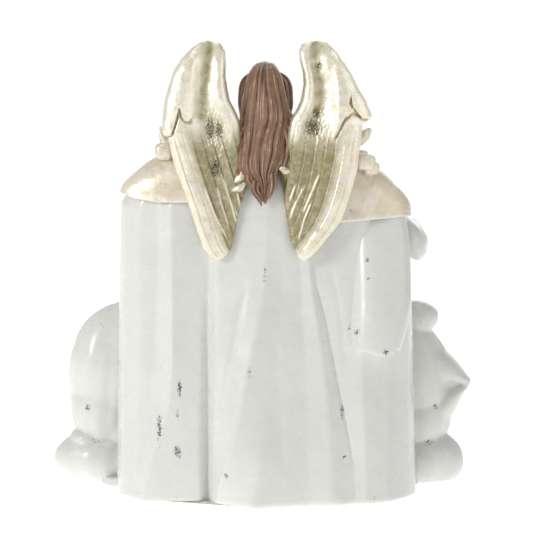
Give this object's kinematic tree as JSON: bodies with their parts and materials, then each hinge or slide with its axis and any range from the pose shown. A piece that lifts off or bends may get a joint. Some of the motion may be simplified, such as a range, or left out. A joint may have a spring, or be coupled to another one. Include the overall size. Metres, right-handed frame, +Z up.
{
  "type": "resin angel figurine",
  "caption": "Painted resin statuette of a winged angel in a wide pleated gown sheltering a kneeling couple and a child on a felted base.",
  "frame": {"origin": "on the underside of the felt sheet, under the middle of the whole group", "axes": "+Z up; the angel faces -Y, so +Y is its back; +X is the angel's left"},
  "size_m": [0.2728, 0.1307, 0.305],
  "materials": {
    "white_paint": "glossy warm white paint with light grey wear",
    "gold_leaf": "champagne gold leaf with olive patina in the recesses",
    "champagne_pearl": "pearly champagne paint, satin gloss",
    "hair_paint": "reddish brown paint, dry-brushed lighter",
    "skin_paint": "satin skin paint",
    "straw_paint": "dull straw paint",
    "wood_paint": "dull brown paint",
    "steel": "plain steel rod",
    "felt": "pale felt"
  },
  "bodies": {
    "root": {"gown_body": "white_paint", "gown_front": "white_paint", "bottom_plate": "white_paint", "ground_slab": "white_paint", "felt_sheet": "felt", "cape_left": "champagne_pearl", "cape_right": "champagne_pearl", "wing_left": "gold_leaf", "wing_right": "gold_leaf", "wing_dowels": "steel", "neck_dowel": "steel", "angel_head": "skin_paint", "angel_hair": "hair_paint", "sleeve_right": "white_paint", "cuff_right": "white_paint", "cuff_left": "white_paint", "hand_right": "skin_paint", "hand_left": "skin_paint", "woman_robe": "white_paint", "woman_veil": "white_paint", "woman_head": "skin_paint", "woman_hands": "skin_paint", "man_robe": "white_paint", "man_hair": "hair_paint", "man_head": "skin_paint", "man_hands": "skin_paint", "manger": "wood_paint", "straw_bed": "straw_paint", "child_body": "white_paint", "child_head": "skin_paint"}
  },
  "joints": []
}
